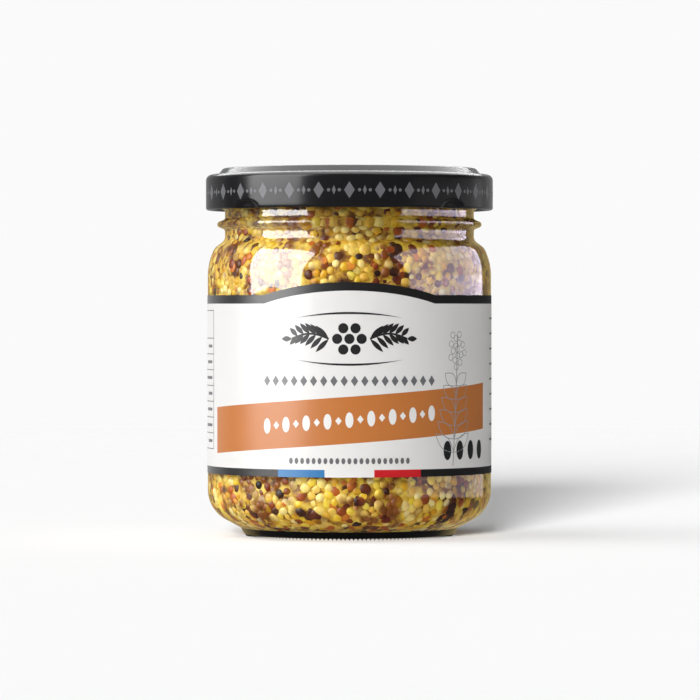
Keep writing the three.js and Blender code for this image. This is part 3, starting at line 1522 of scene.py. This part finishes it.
    def rules(self, sheet: RoundPrint) -> None:
        """Draws the plain rules at the right side.

        Args:
            sheet: The print to draw on.
        """
        for k in range(9):
            z = 52.1 - 3.6 * k
            sheet.line([(s, z) for s in steps(self.rules_from, self.rules_to - 5 * (k % 3), 0.7)], 0.4)

    def build(self) -> None:
        """Prints all of it and ties each piece to the frame."""
        slope = self.label.band_rise / (self.label.band_to - self.label.band_from)
        self.chain(
            "label_lozenges", lambda p: p.disc(0, 0, 1.7, 2.5, 4), -20.4, 2.4, 18, self.lozenges_z, "6F6F72"
        )
        self.chain("label_pips", lambda p: p.disc(0, 0, 2.5, 4.6), 25.2, 4.3, 4, self.pips_z, "232224")
        self.chain("label_dots", lambda p: p.disc(0, 0, 0.95, 1.5, 8), -14.0, 1.4, 21, self.dots_z, "6A6A6D")
        for name, shape, first, gap, count in (
            ("label_grains", lambda p: p.disc(0, 0, 1.9, 3.7), -20.4, 5.1, 9),
            ("label_studs", lambda p: p.disc(0, 0, 1.5, 1.9, 4), -17.85, 5.1, 8),
        ):
            z = self.label.band_at(first) + self.label.band_height / 2
            self.chain(name, shape, first, gap, count, z, "EFEDEA", slope * gap)
        for name, ink, draw in (
            ("label_emblem", "232224", (self.emblem,)),
            ("label_sprig", "9B9A9A", (self.sprig,)),
            ("label_table", "4A4A4D", (self.table, self.rules)),
        ):
            drawn = RoundPrint(self.label.radius)
            for shape in draw:
                shape(drawn)
            settle(drawn.shell.piece(name, [CoatedPaper(f"{name}_ink", ink).material()], 30.0), "label_paper")


@dataclass
class TwistLid:
    """The twist-off lid: a stepped crown with a sunk panel and button, and a curled skirt with lugs."""

    radius: float = 34.4
    wall: float = 0.4
    bottom: float = 78.0
    shoulder_z: float = 86.5
    shoulder_fillet: float = 1.4
    curl: float = 1.2
    step_foot_r: float = 31.5
    step_top_r: float = 30.3
    panel_z: float = 88.0
    panel_rim: float = 2.4
    panel_sink: float = 0.5
    button_r: float = 11.0
    button_rise: float = 0.3
    lugs: int = 4
    lug_half_width: float = 4.2
    lug_height: float = 2.3
    lug_depth: float = 0.9
    lug_slope: float = 0.45
    frieze_z: float = 82.0
    frieze_count: int = 30
    frieze_lozenge: Flat = (2.5, 3.9)
    frieze_dot: float = 0.8
    frieze_dot_at: float = 2.35
    frieze_mark: Flat = (0.9, 2.2)
    frieze_mark_at: float = 3.6
    lug_rows: int = 8
    sides: int = 480

    def outline(self) -> np.ndarray:
        """Returns the sheet metal's outline, from under the panel round the curl to the top's middle."""
        panel_r = self.step_top_r - self.panel_rim
        panel_z = self.panel_z - self.panel_sink
        ceiling = panel_z - self.wall
        under = self.shoulder_z - self.wall
        lug_zs = np.linspace(self.bottom + self.curl, self.bottom + self.lug_height, self.lug_rows)
        return rounded_outline(
            [
                (0.0, ceiling),
                (self.step_top_r - self.wall, ceiling, 0.5),
                (self.step_foot_r - self.wall, under, 0.5),
                (self.radius - self.wall, under, self.shoulder_fillet - self.wall),
                *((self.radius - self.wall, float(z)) for z in lug_zs[:1:-1]),
                (self.radius - self.wall, self.bottom + self.curl, 0.2),
                (self.radius - self.curl, self.bottom + self.curl, self.curl / 3),
                (self.radius - self.curl, self.bottom, self.curl / 2.1),
                (self.radius, self.bottom, self.curl / 2.1),
                *((self.radius, float(z)) for z in lug_zs),
                (self.radius, self.shoulder_z, self.shoulder_fillet),
                (self.step_foot_r, self.shoulder_z, 0.35),
                (self.step_top_r, self.panel_z, 0.7),
                (panel_r, self.panel_z, 0.4),
                (panel_r - self.panel_sink, panel_z, 0.4),
                (self.button_r + 1.5, panel_z, 1.0),
                (self.button_r, panel_z + self.button_rise, 1.0),
                (0.0, panel_z + self.button_rise),
            ],
            longest=3.0,
        )

    def pressed(self, point: tuple[float, float, float]) -> tuple[float, float, float]:
        """Presses a point of the skirt inwards where a lug is.

        Args:
            point: A point of the plain skirt.

        Returns:
            The moved point.
        """
        x, y, z = point
        radius = math.hypot(x, y)
        if radius < self.radius - self.curl - 0.1 or z > self.bottom + self.lug_height:
            return point
        sector = 2 * math.pi / self.lugs
        off = (math.atan2(x, -y) % sector - sector / 2) * radius / self.lug_half_width
        edge = math.hypot(off, (z - self.bottom) / self.lug_height)
        if edge >= 1:
            return point
        depth = min(1.0, (1 - edge) / self.lug_slope)
        shrunk = 1 - self.lug_depth * depth * depth * (3 - 2 * depth) / radius
        return x * shrunk, y * shrunk, z

    def build(self) -> bpy.types.Object:
        """Makes the lid and ties it to the frame.

        Returns:
            The piece.
        """
        shell = turned(self.outline(), self.sides)
        shell.vertices = [self.pressed(v) for v in shell.vertices]
        lid = shell.piece("twist_lid", [LidEnamel("black_enamel", "1A1A1C").material()], 35.0)
        return settle(lid, "lid_enamel", "lid")

    def frieze(self, row: ArcRow) -> bpy.types.Object:
        """Prints a grey frieze of lozenges and dots round the skirt and ties it to the frame.

        Args:
            row: The recipe for rows round the jar.

        Returns:
            The piece.
        """
        drawn = RoundPrint(self.radius)
        drawn.disc(0, 0, *self.frieze_lozenge, 4)
        for side in (-1, 1):
            drawn.disc(side * self.frieze_dot_at, 0, self.frieze_dot, self.frieze_dot, 10)
        drawn.disc(self.frieze_mark_at, 0, *self.frieze_mark, 4)
        motif = drawn.motif("frieze_motif")
        holder = Shell().piece("frieze_holder", [], 30.0)
        values = {
            "Radius": self.radius * MM,
            "Start": 0.0,
            "Step": math.tau / self.frieze_count,
            "Height": self.frieze_z * MM,
            "Rise": 0.0,
            "Count": self.frieze_count,
            "Motif": motif,
            "Material": LidEnamel("grey_print", "6C6C70", 0.3).material(),
        }
        printed = settle(row.apply(holder, "lid_frieze", values), "lid_enamel")
        bpy.data.objects.remove(motif)
        return printed


class Lit(Enum):
    """What a lamp does with the pieces that are named to it."""

    ONLY = "INCLUDE"
    NOT = "EXCLUDE"


def linked(name: str, state: Lit, *pieces: bpy.types.Object) -> bpy.types.Collection:
    """Makes a collection that tells a lamp what it lights.

    Args:
        name: The collection's name.
        state: Whether it lights only these pieces, or all others.
        *pieces: The pieces.

    Returns:
        The collection.
    """
    group = bpy.data.collections.new(name)
    for piece in pieces:
        group.objects.link(piece)
    for member in group.collection_objects:
        member.light_linking.link_state = state.value
    return group


def bearing(azimuth: float, elevation: float) -> Vector:
    """Returns the unit vector from the jar towards a place, by degrees from the front and above level."""
    a, e = math.radians(azimuth), math.radians(elevation)
    return Vector((math.sin(a) * math.cos(e), -math.cos(a) * math.cos(e), math.sin(e)))


@dataclass
class Studio:
    """A pale floor, a white surround, a soft light at the left, and cards that show as reflections."""

    floor_r: float = 4.0
    floor_colour: str = "EDEDED"
    eye: tuple[float, float, float] = (0.00014, -1.02, 0.0541)
    aim: tuple[float, float, float] = (0.00014, 0.0, 0.0445)
    seen_width: float = 0.16807
    white: float = 0.956
    fill: float = 0.1
    middle: float = 0.045
    card_far: float = 0.65
    jar_only: bpy.types.Collection = field(init=False)

    def floor(self) -> bpy.types.Object:
        """Makes the floor, which fades out with distance so that no horizon shows.

        Returns:
            The floor.
        """
        material, tree = new_material("studio_floor")
        place = add(tree, "ShaderNodeTexCoord").outputs["Object"]
        far = add(tree, "ShaderNodeVectorMath", {0: place}, operation="LENGTH").outputs["Value"]
        fade = add(
            tree,
            "ShaderNodeMapRange",
            {"Value": far, "From Min": 0.3, "From Max": 1.2},
            interpolation_type="SMOOTHSTEP",
        )
        paint = add(tree, "ShaderNodeBsdfDiffuse", {"Color": linear(self.floor_colour)})
        gone = add(tree, "ShaderNodeBsdfTransparent")
        mixed = add(tree, "ShaderNodeMixShader", {0: fade, 1: paint, 2: gone})
        add(tree, "ShaderNodeOutputMaterial", {"Surface": mixed})
        shell = Shell()
        half = self.floor_r / MM
        shell.vertices = [(-half, -half, 0.0), (half, -half, 0.0), (half, half, 0.0), (-half, half, 0.0)]
        shell.face((0, 1, 2, 3))
        floor = shell.piece("studio_floor", [material])
        floor.visible_glossy = False
        return floor

    def surround(self) -> None:
        """Makes the world: white to the eye, dimmer as a light."""
        world = bpy.data.worlds.new("studio_surround")
        bpy.context.scene.world = world
        world.use_nodes = True
        tree = world.node_tree
        tree.nodes.clear()
        seen = add(tree, "ShaderNodeLightPath").outputs["Is Camera Ray"]
        lit = add(tree, "ShaderNodeBackground", {"Color": (1, 1, 1, 1), "Strength": self.fill})
        white = add(tree, "ShaderNodeBackground", {"Color": (1, 1, 1, 1), "Strength": self.white})
        mixed = add(tree, "ShaderNodeMixShader", {0: seen, 1: lit, 2: white})
        add(tree, "ShaderNodeOutputWorld", {"Surface": mixed})

    def hang(self, name: str, data: bpy.types.Light, way: Vector, far: float, seen: bool) -> bpy.types.Object:
        """Hangs a lamp that shines at the jar's middle, and is either a light or only a reflection.

        Args:
            name: The lamp's name.
            data: The lamp.
            way: Unit vector from the jar to the lamp.
            far: Distance from the jar, in metres.
            seen: Whether it shows only as a reflection, or else only lights what is matt.

        Returns:
            The lamp's object.
        """
        lamp = bpy.data.objects.new(name, data)
        lamp.location = Vector((0, 0, self.middle)) + way * far
        lamp.rotation_euler = way.to_track_quat("Z", "Y").to_euler()
        lamp.visible_camera = False
        lamp.visible_transmission = False
        lamp.visible_glossy = seen
        lamp.visible_diffuse = not seen
        bpy.context.scene.collection.objects.link(lamp)
        return lamp

    def sun(
        self,
        group: bpy.types.Collection,
        name: str,
        azimuth: float,
        elevation: float,
        spread: float,
        strength: float,
    ) -> None:
        """Adds an even soft light from far away.

        Args:
            group: Whether it lights the floor or the jar.
            name: The light's name.
            azimuth: Degrees from the front, to the right.
            elevation: Degrees above level.
            spread: Degrees that the light is wide.
            strength: Light on a face turned to it, in watts a square metre.
        """
        data = bpy.data.lights.new(name, "SUN")
        data.angle = math.radians(spread)
        data.energy = strength
        lamp = self.hang(name, data, bearing(azimuth, elevation), 3.0, False)
        lamp.light_linking.receiver_collection = group
        if elevation < 0:
            lamp.light_linking.blocker_collection = self.jar_only

    def card(
        self,
        group: bpy.types.Collection,
        name: str,
        azimuth: float,
        elevation: float,
        size: tuple[float, float],
        radiance: float,
        colour: str = "FFFFFF",
    ) -> None:
        """Adds a bright card that shows as a reflection in the glass and the enamel.

        Args:
            group: What it shows in.
            name: The card's name.
            azimuth: Degrees from the front, to the right.
            elevation: Degrees above level.
            size: Width and height, in metres.
            radiance: Brightness of its face.
            colour: Its colour, as sRGB hex.
        """
        data = bpy.data.lights.new(name, "AREA")
        data.shape = "RECTANGLE"
        data.color = linear(colour)[:3]
        data.size, data.size_y = size
        data.energy = radiance * math.pi * size[0] * size[1]
        card = self.hang(name, data, bearing(azimuth, elevation), self.card_far, True)
        card.light_linking.receiver_collection = group
        card.light_linking.blocker_collection = self.jar_only

    def camera(self) -> None:
        """Makes the camera, level with the jar's middle."""
        data = bpy.data.cameras.new("camera")
        eye, aim = Vector(self.eye), Vector(self.aim)
        data.sensor_width = 36.0
        data.lens = data.sensor_width * (aim - eye).length / self.seen_width
        data.clip_start = 0.01
        data.clip_end = 50.0
        camera = bpy.data.objects.new("camera", data)
        camera.location = eye
        camera.rotation_euler = (aim - eye).to_track_quat("-Z", "Y").to_euler()
        bpy.context.scene.collection.objects.link(camera)
        bpy.context.scene.camera = camera

    def build(self, glass: bpy.types.Object, lid: Sequence[bpy.types.Object]) -> None:
        """Makes the whole studio.

        Args:
            glass: The jar's glass.
            lid: The lid and its print.
        """
        floor = self.floor()
        floor_only = linked("lit_floor", Lit.ONLY, floor)
        self.jar_only = linked("lit_jar", Lit.NOT, floor)
        self.surround()
        in_glass = linked("lit_glass", Lit.ONLY, glass)
        on_lid = linked("lit_lid", Lit.ONLY, *lid)
        on_label = linked("lit_label", Lit.NOT, glass, *lid)
        self.sun(self.jar_only, "key_light", -50, 48, 26, 2.34)
        self.sun(self.jar_only, "sky_light", 0, 90, 120, 0.25)
        self.sun(self.jar_only, "low_light", -20, -38, 50, 0.7)
        self.sun(floor_only, "floor_left", -84, 55, 48, 0.94)
        self.sun(floor_only, "floor_front", -10, 12, 16, 10.1)
        self.sun(floor_only, "floor_sky", 0, 90, 150, 0.36)
        self.card(in_glass, "glass_window", -62, 22.5, (0.6, 0.5), 15.0)
        self.card(on_label, "label_window", -62, 22.5, (0.6, 0.5), 20.0)
        self.card(on_lid, "lid_window", -62, 22.5, (0.6, 0.5), 9.5)
        self.card(in_glass, "side_card", 92, 24, (1.3, 0.56), 4.4, "EBE0F6")
        self.card(in_glass, "heel_card", 92, -5, (1.3, 0.2), 1.5, "EBE0F6")
        self.card(on_lid, "low_side_card", 90, 2, (1.1, 0.12), 0.6)
        self.card(in_glass, "warm_card", 180, 4, (2.6, 1.2), 0.5, "EBCB78")
        self.card(on_label, "left_card", -145, 4, (0.7, 1.0), 0.9)
        self.card(on_lid, "back_card", 180, 4, (2.6, 1.2), 0.3)
        self.card(on_lid, "top_card", 180, 76, (1.2, 1.5), 5.5)
        self.camera()
        bpy.context.scene.view_settings.view_transform = "Standard"


def main() -> None:
    """Builds the jar in order, then the studio, and notes the sizes."""
    logging.basicConfig(level=logging.INFO, format="%(message)s")
    inside = JarInside()
    glass = GlassJar(inside).build()
    MustardFill(inside).build()
    row = ArcRow()
    label = WrapLabel()
    label.build()
    LabelOrnament(label, row).build()
    lid = TwistLid()
    tin = [lid.build(), lid.frieze(row)]
    Studio().build(glass, tin)


if __name__ == "__main__":
    main()
